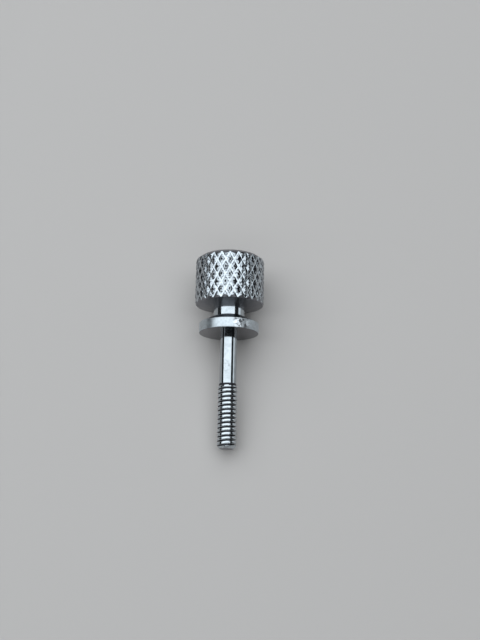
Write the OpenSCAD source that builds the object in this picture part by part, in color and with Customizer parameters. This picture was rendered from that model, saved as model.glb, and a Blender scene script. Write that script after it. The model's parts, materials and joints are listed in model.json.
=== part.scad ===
// Clamp screw turned from one bar of bright steel: a knurled head, a neck,
// a coned collar, a plain shank and a threaded end.
// It lies with its tip towards -Y, on its knurl and on the rim of its collar.
// The origin is the middle of the collar's clamping face, on the screw's axis.

/* [Thread] */
// Outside diameter of the thread
thread_d = 2.845; // [2.6:0.005:4]
// Length of the threaded end, with its tip
thread_len = 9.5; // [4:0.1:16]
// Length of the bevel at the tip
tip_bevel = 0.35; // [0.1:0.05:0.6]

/* [Shank] */
// Diameter of the plain shank
shank_d = 2.48; // [1.6:0.02:2.6]
// Length of the plain shank, from the collar to the thread
shank_len = 7.55; // [3:0.05:14]

/* [Collar] */
// Diameter of the collar
collar_d = 8.84; // [7:0.01:10]
// Width of the collar's rim
collar_rim = 1.5; // [0.8:0.05:2.5]
// Length of the cone between the rim and the neck
collar_cone = 1.03; // [0.4:0.01:2]
// Break on the rim's two edges
collar_edge = 0.1; // [0.04:0.01:0.2]

/* [Neck] */
// Diameter of the neck
neck_d = 4.64; // [3:0.02:6]
// Length of the straight part of the neck
neck_len = 1.21; // [0.5:0.01:3]

/* [Head] */
// Diameter over the points of the knurl
head_d = 10.36; // [9:0.02:14]
// Depth of the knurl
knurl_depth = 0.4; // [0.2:0.02:0.6]
// Diamonds around the head
knurl_count = 26; // [18:1:36]
// Length of the knurl, down to its valleys
knurl_len = 6.9; // [4:0.01:12]
// Angle between the knurl's lines and the axis
knurl_angle = 29; // [25:1:40]
// Bevel between the knurl and the head's top
top_bevel = 0.47; // [0.2:0.01:1]
// Bevel between the knurl and the cone under the head
under_bevel = 0.05; // [0.02:0.01:1]
// Length of the shallow cone under the head
under_cone = 0.57; // [0.1:0.01:1]
// Diameter of the flat underside, round the neck
underside_d = 5; // [4.8:0.02:8]

/* [Hidden] */
$fn = 96;

// Radii
thread_r = thread_d / 2;
shank_r = shank_d / 2;
collar_r = collar_d / 2;
neck_r = neck_d / 2;
underside_r = underside_d / 2;
head_r = head_d / 2;
root_r = head_r - knurl_depth;

// Stations along the axis, from the clamping face
thread_z = -shank_len;
tip_z = thread_z - thread_len;
cone_z = collar_rim + collar_cone;
underside_z = cone_z + neck_len;
knurl_z = underside_z + under_cone + under_bevel;
knurl_end_z = knurl_z + knurl_len;
top_z = knurl_end_z + top_bevel;

// The knurl is a lattice of points and valleys, half a diamond apart both ways
col_step = 180 / knurl_count;
row_step = PI * head_r / knurl_count / tan(knurl_angle);
knurl_rows = floor(knurl_len / row_step);
lattice_z = knurl_z + (knurl_len - knurl_rows * row_step) / 2;
spare_rows = ceil(max(top_bevel, under_bevel + under_cone) / row_step) + 1;
first_row = -spare_rows;
last_row = knurl_rows + spare_rows;
last_col = 2 * knurl_count - 1;

// The screw rests on a knurl point that the bevel has cut, on the next whole
// point beside it and on the rim of the collar, each given as [station, radius].
point_slope = knurl_depth / row_step;
cut_z = knurl_z + (knurl_depth + point_slope * (lattice_z - knurl_z)) / (1 + point_slope);
cut_point = [cut_z, root_r + cut_z - knurl_z];
whole_point = [lattice_z + row_step, head_r];
rim_point = [collar_edge, collar_r];
lever = (whole_point[0] - rim_point[0]) / (cut_point[0] - rim_point[0]);
along = whole_point[1] * cos(col_step) - lever * cut_point[1];
across = whole_point[1] * sin(col_step);
level = rim_point[1] * (1 - lever) / norm([along, across]);
rest_roll = atan2(across, along) - acos(max(-1, min(1, level)));
rest_dip = atan2(
    cut_point[1] * cos(rest_roll) - rim_point[1],
    cut_point[0] - rim_point[0]
);

function is_point(col, row) = abs(col + row) % 2 == 0;

function lattice_point(col, row) =
    let (
        r = is_point(col, row) ? head_r : root_r,
        angle = 90 - rest_roll + col * col_step
    )
    [r * cos(angle), r * sin(angle), lattice_z + row * row_step];

function lattice_index(col, row) =
    (row - first_row) * (last_col + 1) + col % (last_col + 1);

// Two triangles between four lattice points, folded along the valley
function lattice_cell(col, row) =
    let (
        a = lattice_index(col, row),
        b = lattice_index(col + 1, row),
        c = lattice_index(col + 1, row + 1),
        d = lattice_index(col, row + 1)
    )
    is_point(col, row) ? [[a, d, b], [d, c, b]] : [[a, d, c], [a, c, b]];

// A bar knurled past both ends of the head
module knurled_bar() {
    points = [
        for (row = [first_row:last_row])
            for (col = [0:last_col])
                lattice_point(col, row)
    ];
    centres = [
        for (row = [first_row, last_row])
            [0, 0, lattice_z + row * row_step]
    ];
    low = len(points);
    high = low + 1;
    sides = [
        for (row = [first_row:last_row - 1])
            for (col = [0:last_col])
                each lattice_cell(col, row)
    ];
    low_end = [
        for (col = [0:last_col])
            [low, lattice_index(col, first_row), lattice_index(col + 1, first_row)]
    ];
    high_end = [
        for (col = [0:last_col])
            [high, lattice_index(col + 1, last_row), lattice_index(col, last_row)]
    ];
    polyhedron(concat(points, centres), concat(sides, low_end, high_end));
}

// The head's outline: two flat ends, each with a bevel of 45 degrees, and a
// shallow cone between the lower bevel and the underside
module head_envelope() {
    outer_r = head_r + knurl_depth;
    under_r = root_r - under_bevel;
    top_r = root_r - top_bevel;
    rotate_extrude()
        polygon([
            [0, underside_z],
            [underside_r, underside_z],
            [under_r, knurl_z - under_bevel],
            [outer_r, knurl_z + outer_r - root_r],
            [outer_r, knurl_end_z - outer_r + root_r],
            [top_r, top_z],
            [0, top_z]
        ]);
}

module knurled_head() {
    intersection() {
        knurled_bar();
        head_envelope();
    }
}

// Everything below the head, up to half way into it
module stem() {
    runout = thread_r - shank_r;
    rotate_extrude()
        polygon([
            [0, tip_z],
            [thread_r - tip_bevel, tip_z],
            [thread_r, tip_z + tip_bevel],
            [thread_r, thread_z - runout],
            [shank_r, thread_z],
            [shank_r, 0],
            [collar_r - collar_edge, 0],
            [collar_r, collar_edge],
            [collar_r, collar_rim - collar_edge],
            [collar_r - collar_edge, collar_rim],
            [neck_r, cone_z],
            [neck_r, (underside_z + top_z) / 2],
            [0, (underside_z + top_z) / 2]
        ]);
}

module clamp_screw() {
    color([0.80, 0.82, 0.84])
        rotate([rest_dip - 90, 0, 0])
            union() {
                stem();
                knurled_head();
            }
}

clamp_screw();
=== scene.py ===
import json
from math import asin, cos, pi, radians, sin, tan

import bmesh
import bpy
from mathutils import Matrix, Vector


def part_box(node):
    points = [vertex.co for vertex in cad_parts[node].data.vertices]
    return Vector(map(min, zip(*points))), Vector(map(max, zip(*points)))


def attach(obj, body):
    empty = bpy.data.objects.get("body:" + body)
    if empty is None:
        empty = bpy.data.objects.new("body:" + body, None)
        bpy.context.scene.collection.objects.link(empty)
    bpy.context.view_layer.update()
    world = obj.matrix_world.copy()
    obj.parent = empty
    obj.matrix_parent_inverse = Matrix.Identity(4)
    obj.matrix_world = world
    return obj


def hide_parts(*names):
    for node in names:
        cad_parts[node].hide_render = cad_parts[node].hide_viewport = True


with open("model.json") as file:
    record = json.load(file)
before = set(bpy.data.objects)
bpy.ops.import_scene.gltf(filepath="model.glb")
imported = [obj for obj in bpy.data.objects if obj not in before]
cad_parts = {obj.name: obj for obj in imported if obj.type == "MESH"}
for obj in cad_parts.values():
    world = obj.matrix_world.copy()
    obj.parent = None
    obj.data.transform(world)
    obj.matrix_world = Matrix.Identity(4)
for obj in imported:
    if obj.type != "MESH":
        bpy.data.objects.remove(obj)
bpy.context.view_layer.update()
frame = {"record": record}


# The blank
# One bar of bright steel that is turned, knurled and threaded as one piece. It is shaped here
# upright in millimetres, with its clamping face at zero and its head up, and is laid down at the
# end as the thread's mount in the record lies.
MM = 0.001
mounts = {mount["name"]: mount for mount in frame["record"]["mounts"]}
dip = asin(-mounts["thread"]["axis"][2])
lie_down = Matrix.Rotation(dip - pi / 2, 4, "X") @ Matrix.Scale(MM, 4)
finishes = ["bright", "satin", "face", "dull", "groove", "diamond", "pit", "thread", "root"]
screw = bmesh.new()


# The threaded end
# A right-hand thread of 40 turns to the inch, rolled between flat dies on the bare shank, so its
# crests are round and stand proud of the shank. It runs out towards the shank, and its tip has a
# short bevel.
FULL_TURN = 2 * pi
MERGE = 1e-5
inch = 25.4
turns_to_the_inch = 40
pitch = inch / turns_to_the_inch
crest_r = mounts["thread"]["dims"]["r_mm"]
crest_flat = 0.42
crest_sag = 0.04
crest_round = 0.05
crest_segments = 3
crest_height = 0.06
root_r = 1.14
root_flat = 0.05
shank_r = 1.24
thread_z = -7.55
tip_z = -17.05
tip_bevel = 0.35
run_out = 0.5
round_steps = 96
spare_turns = 2
turns = int((thread_z - tip_z) / pitch) + 2 * spare_turns


def all_of(shape):
    return shape.verts[:] + shape.edges[:] + shape.faces[:]


def only_verts(geom):
    return [part for part in geom if isinstance(part, bmesh.types.BMVert)]


def finish_as(name, faces):
    for face in faces:
        face.material_index = finishes.index(name)


def chain(shape, corners):
    verts = [shape.verts.new(corner) for corner in corners]
    for start, end in zip(verts, verts[1:]):
        shape.edges.new((start, end))
    return verts


# A rolled pattern is drawn flat, with the angle as x, the station as y and the radius as z
def roll_onto_screw(pattern):
    for vert in pattern.verts:
        angle, station, radius = vert.co
        vert.co = radius * cos(angle), radius * sin(angle), station
    bmesh.ops.remove_doubles(pattern, verts=pattern.verts, dist=MERGE)
    rolled = bpy.data.meshes.new("rolled")
    pattern.to_mesh(rolled)
    pattern.free()
    screw.from_mesh(rolled)
    bpy.data.meshes.remove(rolled)


def open_ring(station):
    return [
        edge for edge in screw.edges
        if edge.is_boundary and all(abs(vert.co.z - station) < MERGE for vert in edge.verts)
    ]


thread = bmesh.new()
outline = chain(thread, [
    (0, 0, root_r),
    (0, root_flat / 2, root_r),
    (0, (pitch - crest_flat) / 2, crest_r - crest_sag),
    (0, pitch / 2, crest_r),
    (0, (pitch + crest_flat) / 2, crest_r - crest_sag),
    (0, pitch - root_flat / 2, root_r),
    (0, pitch, root_r),
])
crest_edges = [outline[2], outline[4]]
bmesh.ops.bevel(
    thread, geom=crest_edges, offset=crest_round, segments=crest_segments, affect="VERTICES",
    profile=0.5, material=-1,
)
one_turn = bmesh.ops.extrude_edge_only(thread, edges=thread.edges[:])["geom"]
bmesh.ops.translate(thread, verts=only_verts(one_turn), vec=(FULL_TURN, pitch, 0))
lengthways = [edge for edge in thread.edges if abs(edge.verts[0].co.x - edge.verts[1].co.x) > pi]
bmesh.ops.subdivide_edges(thread, edges=lengthways, cuts=round_steps - 1, use_grid_fill=True)
bmesh.ops.translate(thread, verts=thread.verts, vec=(0, tip_z - spare_turns * pitch, 0))
one_turn = all_of(thread)
for turn in range(1, turns):
    copy = bmesh.ops.duplicate(thread, geom=one_turn)["geom"]
    bmesh.ops.translate(thread, verts=only_verts(copy), vec=(0, turn * pitch, 0))
for vert in thread.verts:
    vert.co.y = min(max(vert.co.y, tip_z), thread_z)
    depth = min((thread_z - vert.co.y) / run_out, 1)
    bevel_r = crest_r - tip_bevel + vert.co.y - tip_z
    vert.co.z = min(shank_r + (vert.co.z - shank_r) * depth, bevel_r)
# Faces off the crests take the root finish, painted near black as painted shade on the flanks and
# roots
for face in thread.faces:
    centre = face.calc_center_median()
    on_crest = centre.z > crest_r - crest_height or centre.y < tip_z + tip_bevel
    finish_as("thread" if on_crest else "root", [face])
roll_onto_screw(thread)
tip_face = bmesh.ops.holes_fill(screw, edges=open_ring(tip_z))["faces"]
finish_as("dull", tip_face)


# The shank, the collar and the neck
# Turned bright on the lathe in one pass: a plain shank, a collar with a narrow rim, a flat
# clamping face towards the shank and a cone towards the neck. The rim's two edges are broken.
collar_r = 4.42
collar_rim = 1.5
collar_cone = 1.03
neck_r = 2.32
neck_len = 1.21
cone_z = collar_rim + collar_cone
underside_z = cone_z + neck_len
edge_break = 0.1
edge_segments = 4

side_verts = chain(screw, [
    (shank_r, 0, thread_z),
    (shank_r, 0, 0),
    (collar_r, 0, 0),
    (collar_r, 0, collar_rim),
    (neck_r, 0, cone_z),
    (neck_r, 0, underside_z),
])
side_edges = [edge for edge in screw.edges if edge.is_wire]
bmesh.ops.spin(
    screw, geom=side_verts + side_edges, axis=(0, 0, 1), cent=(0, 0, 0),
    angle=FULL_TURN, steps=round_steps, use_merge=True,
)
# The clamping face takes the face finish, darkened as a painted reflection of dark surroundings
for face in screw.faces:
    face_z = face.calc_center_median().z
    if abs(face_z) < MERGE:
        finish_as("face", [face])
    elif 0 < face_z < collar_rim:
        finish_as("satin", [face])
    elif face_z > thread_z:
        finish_as("bright", [face])


def ring(radius, station):
    return [
        edge for edge in screw.edges
        if all(
            abs(vert.co.z - station) < MERGE and abs(vert.co.xy.length - radius) < MERGE
            for vert in edge.verts
        )
    ]


for rim_z in (0, collar_rim):
    bmesh.ops.bevel(
        screw, geom=ring(collar_r, rim_z), offset=edge_break, segments=edge_segments,
        affect="EDGES", profile=0.5, material=-1,
    )
bmesh.ops.remove_doubles(screw, verts=screw.verts, dist=MERGE)


# The head
# A diamond knurl pressed into the blank by two wheels. The wheels burnish the grooves bright and
# push up the diamonds, whose tops keep a pit where the metal hasn't met. Both ends are then turned
# to a bevel, which cuts the last row of diamonds to a zigzag, and the underside to a shallow cone.
knurl_count = 26
knurl_angle = radians(29)
knurl_len = 6.9
knurl_depth = 0.4
knurl_roll = radians(6.67)
head_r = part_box("clamp_screw")[1].x / MM
knurl_root_r = head_r - knurl_depth
groove_height = 0.22
groove_r = knurl_root_r + groove_height
under_bevel = 0.05
under_cone = 0.57
underside_r = 2.50
top_bevel = 0.47
bevel_slope = 0.4
lip = 0.03
lip_height = 0.15
lip_r = knurl_root_r + lip_height
knurl_z = underside_z + under_cone + under_bevel
knurl_end_z = knurl_z + knurl_len
top_z = knurl_end_z + top_bevel
half_wide = pi * head_r / knurl_count
half_long = half_wide / tan(knurl_angle)
rows = int(knurl_len / half_long)
spare_rows = 1
lattice_z = knurl_z + (knurl_len - rows * half_long) / 2
diamond_sides = 4
# A diamond is made of rings, from its edge inwards, each with its finish, its width and its rise
rings = (
    ("groove", 0.04, 0),
    ("groove", 0.07, 0.02),
    ("diamond", 0.13, 0.068),
    ("diamond", 0.185, 0.048),
    ("pit", 0.04, -0.20),
)


def only_edges(geom):
    return [part for part in geom if isinstance(part, bmesh.types.BMEdge)]


def only_faces(geom):
    return [part for part in geom if isinstance(part, bmesh.types.BMFace)]


knurl = bmesh.new()
bmesh.ops.create_circle(knurl, cap_ends=True, segments=diamond_sides, radius=1)
bmesh.ops.scale(knurl, verts=knurl.verts, vec=(half_wide, half_long, 1))
knurl.normal_update()
inner_face = knurl.faces[:]
for finish, width, rise in rings:
    band = bmesh.ops.inset_region(
        knurl, faces=inner_face, thickness=width, depth=rise, use_boundary=True,
        use_even_offset=True,
    )["faces"]
    finish_as(finish, band)
# The pit finish is painted near black as painted shade in the diamonds' hollows
finish_as("pit", inner_face)
slanted = [
    edge for edge in knurl.edges
    if all(abs(edge.verts[0].co[side] - edge.verts[1].co[side]) > MERGE for side in (0, 1))
]
bmesh.ops.subdivide_edges(knurl, edges=slanted, cuts=1, use_grid_fill=True)
bmesh.ops.translate(knurl, verts=knurl.verts, vec=(0, lattice_z, groove_r))
diamond = all_of(knurl)
for row in range(-spare_rows, rows + spare_rows + 1):
    for step in range(knurl_count):
        column = 2 * step + row % 2
        copy = bmesh.ops.duplicate(knurl, geom=diamond)["geom"]
        bmesh.ops.translate(
            knurl, verts=only_verts(copy), vec=(column * half_wide, row * half_long, 0),
        )
        # The bevels take off the tops of the first and the last row, with their pits
        if row in (0, rows):
            pit_faces = [
                face for face in only_faces(copy) if face.material_index == finishes.index("pit")
            ]
            bmesh.ops.delete(knurl, geom=pit_faces, context="FACES")
bmesh.ops.delete(knurl, geom=diamond, context="VERTS")
bmesh.ops.remove_doubles(knurl, verts=knurl.verts, dist=MERGE)
under_corners = (
    (knurl_z - lip, lip_r),
    (knurl_z - under_bevel, knurl_root_r - under_bevel),
    (underside_z, underside_r),
)
top_corners = (
    (knurl_end_z + lip, lip_r),
    (top_z, knurl_root_r - top_bevel),
)
for bevel_z, outward, corners in (
    (knurl_z, -1, under_corners),
    (knurl_end_z, 1, top_corners),
):
    edge_loop = only_edges(bmesh.ops.bisect_plane(
        knurl, geom=all_of(knurl), plane_co=(0, bevel_z, groove_r),
        plane_no=(0, outward * bevel_slope, 1), clear_outer=True,
    )["geom_cut"])
    for station, radius in corners:
        wall = bmesh.ops.extrude_edge_only(knurl, edges=edge_loop)["geom"]
        for vert in only_verts(wall):
            vert.co.y = station
            vert.co.z = radius
        finish_as("dull", only_faces(wall))
        edge_loop = [
            edge for edge in only_edges(wall)
            if all(abs(vert.co.y - station) < MERGE for vert in edge.verts)
        ]
bmesh.ops.scale(knurl, verts=knurl.verts, vec=(1 / head_r, 1, 1))
bmesh.ops.translate(knurl, verts=knurl.verts, vec=(pi / 2 - knurl_roll, 0, 0))
roll_onto_screw(knurl)
for station in (underside_z, top_z):
    flat_end = only_faces(bmesh.ops.triangle_fill(
        screw, edges=open_ring(station), normal=(0, 0, 1), use_beauty=True,
    )["geom"])
    finish_as("dull", flat_end)
    # The flat underside is a ring round the neck
    if station == underside_z:
        in_neck = [face for face in flat_end if face.calc_center_median().xy.length < neck_r]
        bmesh.ops.delete(screw, geom=in_neck, context="FACES")


# The finish
# The screw is bare steel all over. Each way of working it left its own surface: bright where the
# tool cut fine, satin on the rim, dull on the bevels, burnished in the grooves, and grey on the
# diamonds. Painted shade makes the pits of the diamonds and the flanks and roots of the thread
# near black, and the clamping face is darkened as a painted reflection of dark surroundings.
sharp_angle = radians(35)
face_weight = 100
to_axis = (pi / 2 - dip, 0, 0)
looks = {
    "bright": {"colour": (0.44, 0.48, 0.51), "rough": (0.05, 0.12), "lathe": 0.3},
    "satin": {"colour": (0.53, 0.58, 0.615), "rough": (0.32, 0.44), "lathe": 0.6, "grime": 0.12},
    # The face colour is a painted reflection: steel darkened to stand for dark surroundings
    # mirrored in it
    "face": {"colour": (0.16, 0.16, 0.175), "rough": (0.08, 0.16), "lathe": 0.3},
    "dull": {"colour": (0.25, 0.25, 0.27), "rough": (0.28, 0.45), "lathe": 1.0},
    "groove": {"colour": (0.55, 0.60, 0.64), "rough": (0.10, 0.24), "grain": 0.2, "grime": 0.2},
    "diamond": {"colour": (0.42, 0.455, 0.485), "rough": (0.05, 0.15), "grain": 0.35, "grime": 0.8},
    # The pit colour is painted shade, near black, in the hollows of the diamonds
    "pit": {"colour": (0.02, 0.02, 0.025), "rough": (0.45, 0.70), "grain": 0.5},
    "thread": {"colour": (0.53, 0.57, 0.60), "rough": (0.08, 0.18), "grain": 0.1},
    # The root colour is painted shade, near black, on the thread's flanks and roots
    "root": {"colour": (0.07, 0.07, 0.08), "rough": (0.35, 0.55), "grain": 0.3},
}
# Each noise has its scale and its detail, with the span of it that shows
cloud_noise = (900.0, 5.0)
cloud_rough = (0.35, 0.65)
cloud_tint = (0.35, 0.6)
cloud_shade = 0.82
speck_noise = (2300.0, 3.0)
speck_span = (0.52, 0.60)
blotch_noise = (3000.0, 2.0)
blotch_span = (0.50, 0.57)
grain_noise = (3200.0, 3.0)
grain_depth = 0.16 * MM
lathe_noise = (12000.0, 2.0)
lathe_stretch = (0.02, 0.02, 1)
lathe_depth = 0.004 * MM
dent_depth = 0.10 * MM
wear_fade = (0.0, 0.6)
scuff_colour = (0.88, 0.93, 0.97, 1)
dirt_colour = (0.04, 0.04, 0.05, 1)
rim_scuff = lie_down @ Vector((1.95, -3.97, 0.75))
rim_spot = lie_down @ Vector((1.20, -4.25, 1.05))
shank_smudge = lie_down @ Vector((-0.2, -1.22, -5.1))
# Each worn place has its middle and its reach, and how strong its scuffs, dirt and dents are
worn = {
    "satin": (
        (rim_scuff, 1.6 * MM, 0.85, 0.8, 0.7),
        (rim_spot, 0.6 * MM, 0.0, 0.9, 0.7),
    ),
    "bright": (
        (shank_smudge, 1.0 * MM, 0.0, 0.25, 0.02),
    ),
}


def noise(tree, vector, scale, detail):
    node = tree.nodes.new("ShaderNodeTexNoise")
    node.inputs["Scale"].default_value = scale
    node.inputs["Detail"].default_value = detail
    tree.links.new(vector, node.inputs["Vector"])
    return node.outputs["Fac"]


def spread(tree, value, span, result):
    node = tree.nodes.new("ShaderNodeMapRange")
    node.inputs["From Min"].default_value = span[0]
    node.inputs["From Max"].default_value = span[1]
    node.inputs["To Min"].default_value = result[0]
    node.inputs["To Max"].default_value = result[1]
    tree.links.new(value, node.inputs["Value"])
    return node.outputs["Result"]


def mapped(tree, vector, turned=(0, 0, 0), scale=(1, 1, 1), shift=(0, 0, 0)):
    node = tree.nodes.new("ShaderNodeMapping")
    node.inputs["Rotation"].default_value = turned
    node.inputs["Scale"].default_value = scale
    node.inputs["Location"].default_value = shift
    tree.links.new(vector, node.inputs["Vector"])
    return node.outputs["Vector"]


def multiplied(tree, first, second):
    node = tree.nodes.new("ShaderNodeMath")
    node.operation = "MULTIPLY"
    tree.links.new(first, node.inputs[0])
    tree.links.new(second, node.inputs[1])
    return node.outputs["Value"]


# How near each point is to the middle of a worn place: one at the middle, nought at its reach
def nearness(tree, vector, middle, reach):
    node = tree.nodes.new("ShaderNodeTexGradient")
    node.gradient_type = "SPHERICAL"
    centred = mapped(tree, vector, scale=(1 / reach,) * 3, shift=-middle / reach)
    tree.links.new(centred, node.inputs["Vector"])
    return spread(tree, node.outputs["Fac"], wear_fade, (0, 1))


def steel(name, colour, rough, lathe=0.0, grain=0.0, grime=0.0):
    material = bpy.data.materials.new("steel_" + name)
    material.use_nodes = True
    tree = material.node_tree
    shader = tree.nodes["Principled BSDF"]
    shader.inputs["Metallic"].default_value = 1.0
    point = tree.nodes.new("ShaderNodeTexCoord").outputs["Object"]
    cloud = noise(tree, point, *cloud_noise)
    tree.links.new(spread(tree, cloud, cloud_rough, rough), shader.inputs["Roughness"])
    tint = tree.nodes.new("ShaderNodeValToRGB")
    dark_end, light_end = tint.color_ramp.elements
    dark_end.position, light_end.position = cloud_tint
    dark_end.color = [cloud_shade * part for part in colour] + [1]
    light_end.color = [*colour, 1]
    tree.links.new(cloud, tint.inputs["Fac"])
    paint = tint.outputs["Color"]
    layers = []
    heights = []
    for middle, reach, scuffs, dirt, dents in worn.get(name, ()):
        near = nearness(tree, point, middle, reach)
        specks = noise(tree, point, *speck_noise)
        layers.append((scuff_colour, spread(tree, near, (0, 1), (0, scuffs))))
        dirt_share = spread(tree, specks, speck_span, (0, dirt))
        layers.append((dirt_colour, multiplied(tree, near, dirt_share)))
        heights.append((dents, dent_depth, multiplied(tree, near, specks)))
    if grime:
        blotches = noise(tree, point, *blotch_noise)
        layers.append((dirt_colour, spread(tree, blotches, blotch_span, (0, grime))))
    for layer_colour, share in layers:
        cover = tree.nodes.new("ShaderNodeMix")
        cover.data_type = "RGBA"
        cover.inputs["B"].default_value = layer_colour
        tree.links.new(share, cover.inputs["Factor"])
        tree.links.new(paint, cover.inputs["A"])
        paint = cover.outputs["Result"]
    tree.links.new(paint, shader.inputs["Base Color"])
    if lathe:
        along = mapped(tree, mapped(tree, point, turned=to_axis), scale=lathe_stretch)
        heights.append((lathe, lathe_depth, noise(tree, along, *lathe_noise)))
    if grain:
        heights.append((grain, grain_depth, noise(tree, point, *grain_noise)))
    normal = shader.inputs["Normal"]
    for strength, depth, relief in heights:
        bump = tree.nodes.new("ShaderNodeBump")
        bump.inputs["Strength"].default_value = strength
        bump.inputs["Distance"].default_value = depth
        tree.links.new(relief, bump.inputs["Height"])
        tree.links.new(bump.outputs["Normal"], normal)
        normal = bump.inputs["Normal"]
    return material


bmesh.ops.recalc_face_normals(screw, faces=screw.faces)
for face in screw.faces:
    face.smooth = True
screw.normal_update()
for edge in screw.edges:
    edge.smooth = edge.calc_face_angle(pi) < sharp_angle
for edge in ring(lip_r, knurl_z - lip) + ring(lip_r, knurl_end_z + lip):
    edge.smooth = False
bmesh.ops.transform(screw, matrix=lie_down, verts=screw.verts)
mesh = bpy.data.meshes.new("turned_screw")
screw.to_mesh(mesh)
screw.free()
for name in finishes:
    mesh.materials.append(steel(name, **looks[name]))
piece = bpy.data.objects.new("turned_screw", mesh)
bpy.context.scene.collection.objects.link(piece)
even_shading = piece.modifiers.new("even_shading", "WEIGHTED_NORMAL")
even_shading.keep_sharp = True
even_shading.weight = face_weight
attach(piece, "root")
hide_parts("clamp_screw")


# The floor
# A plain pale sheet with a matt face, on which the screw lies. It is at the height of the lowest
# knurl point.
floor_size = 4.0
floor_colour = (0.47, 0.445, 0.43, 1)
floor_rough = 0.7
floor_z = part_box("clamp_screw")[0].z
sheet = bmesh.new()
bmesh.ops.create_grid(sheet, x_segments=1, y_segments=1, size=floor_size / 2)
bmesh.ops.translate(sheet, verts=sheet.verts, vec=(0, 0, floor_z))
floor_mesh = bpy.data.meshes.new("floor")
sheet.to_mesh(floor_mesh)
sheet.free()
floor_paint = bpy.data.materials.new("pale_floor")
floor_paint.use_nodes = True
floor_shader = floor_paint.node_tree.nodes["Principled BSDF"]
floor_shader.inputs["Base Color"].default_value = floor_colour
floor_shader.inputs["Roughness"].default_value = floor_rough
floor_mesh.materials.append(floor_paint)
floor = bpy.data.objects.new("floor", floor_mesh)
bpy.context.scene.collection.objects.link(floor)


# The light
# A long oval panel overhead, a little to the left, two narrow ones beside the camera and two dimmer
# ones behind it and on the far side. A small strip is low on the right, and a dim card in front.
# Each has its shape, place, turn in degrees, size and brightness, which gives the lamp's power.
panel_colour = (0.90, 0.96, 1.0)
room_colour = (0.9, 0.95, 1.0, 1)
room_brightness = 0.03
panels = (
    ("overhead", "ELLIPSE", (-0.245, 0.075, 0.5), (0, 0, 0), (1.37, 0.46), 2.0),
    ("left_of_camera", "RECTANGLE", (-0.32, -0.095, 0.5), (0, 0, 0), (0.40, 0.11), 1.98),
    ("right_of_camera", "RECTANGLE", (0.30, -0.095, 0.5), (0, 0, 0), (0.36, 0.11), 1.98),
    ("behind_camera", "RECTANGLE", (-0.30, -0.46, 0.5), (0, 0, 0), (1.60, 0.28), 1.40),
    ("far_side", "RECTANGLE", (-0.30, 0.55, 0.5), (0, 0, 0), (1.50, 0.56), 1.40),
    ("right_strip", "RECTANGLE", (0.30, 0.07, 0.05), (0, 90, 0), (0.10, 0.10), 1.25),
    ("front_card", "RECTANGLE", (0.0, -0.60, 0.08), (90, 0, 0), (1.20, 0.16), 0.30),
)
for name, shape, place, degrees, size, brightness in panels:
    lamp = bpy.data.lights.new(name, "AREA")
    lamp.color = panel_colour
    lamp.shape = shape
    lamp.size, lamp.size_y = size
    area = size[0] * size[1] * (pi / 4 if shape == "ELLIPSE" else 1)
    lamp.energy = pi * area * brightness
    panel = bpy.data.objects.new(name, lamp)
    panel.location = place
    panel.rotation_euler = [radians(angle) for angle in degrees]
    bpy.context.scene.collection.objects.link(panel)
room = bpy.data.worlds.new("room")
room.use_nodes = True
room_light = room.node_tree.nodes["Background"]
room_light.inputs["Color"].default_value = room_colour
room_light.inputs["Strength"].default_value = room_brightness
bpy.context.scene.world = room
bpy.context.scene.view_settings.view_transform = "Standard"


# The camera
# Looks steeply down on the screw from beyond its tip, as the photograph does, turned a little about
# its own line of sight.
target = Vector((1.630, 2.254, 0)) * MM
elevation = radians(67.656)
distance = 148.72 * MM
roll = radians(1.039)
lens = 56.10
sensor_width = 36.0
nearest = 5 * MM
camera_data = bpy.data.cameras.new("camera")
camera_data.lens = lens
camera_data.sensor_width = sensor_width
camera_data.clip_start = nearest
camera = bpy.data.objects.new("camera", camera_data)
back = Vector((0, -cos(elevation), sin(elevation)))
facing = back.to_track_quat("Z", "Y") @ Matrix.Rotation(roll, 3, "Z").to_quaternion()
camera.location = target + distance * back
camera.rotation_euler = facing.to_euler()
bpy.context.scene.collection.objects.link(camera)
bpy.context.scene.camera = camera
